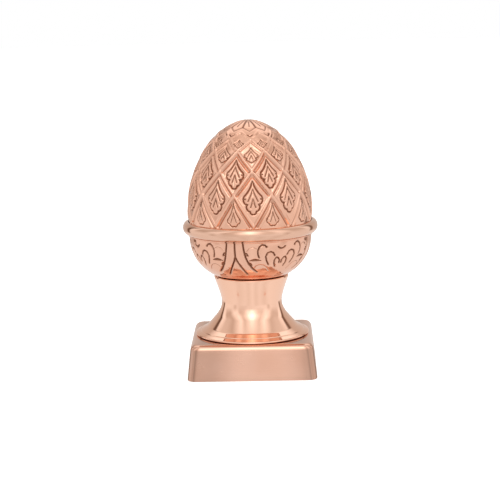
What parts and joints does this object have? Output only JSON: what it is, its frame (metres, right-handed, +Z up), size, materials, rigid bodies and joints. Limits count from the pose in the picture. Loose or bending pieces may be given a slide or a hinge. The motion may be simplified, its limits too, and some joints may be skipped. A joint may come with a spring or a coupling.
{
  "type": "pineapple post cap",
  "caption": "Polished copper post cap: a hollow square cap carries a spun stem, an engraved bowl, a rolled ring and a pineapple with a diamond lattice of leaves",
  "frame": {"origin": "middle of the cap's open rim, on the plane that the cap stands on", "axes": "+Z is up along the post, +X to the right and -Y toward the viewer of the picture, square to the cap's faces"},
  "size_m": [0.1054, 0.1054, 0.1961],
  "materials": {
    "satin_copper": "satin copper, lightly brushed",
    "polished_copper": "mirror-polished copper",
    "carved_copper": "polished copper, darker in the carving"
  },
  "bodies": {
    "root": {"square_cap": "satin_copper", "spool_stem": "polished_copper", "bowl": "carved_copper", "equator_ring": "polished_copper", "pineapple": "carved_copper"}
  },
  "joints": []
}
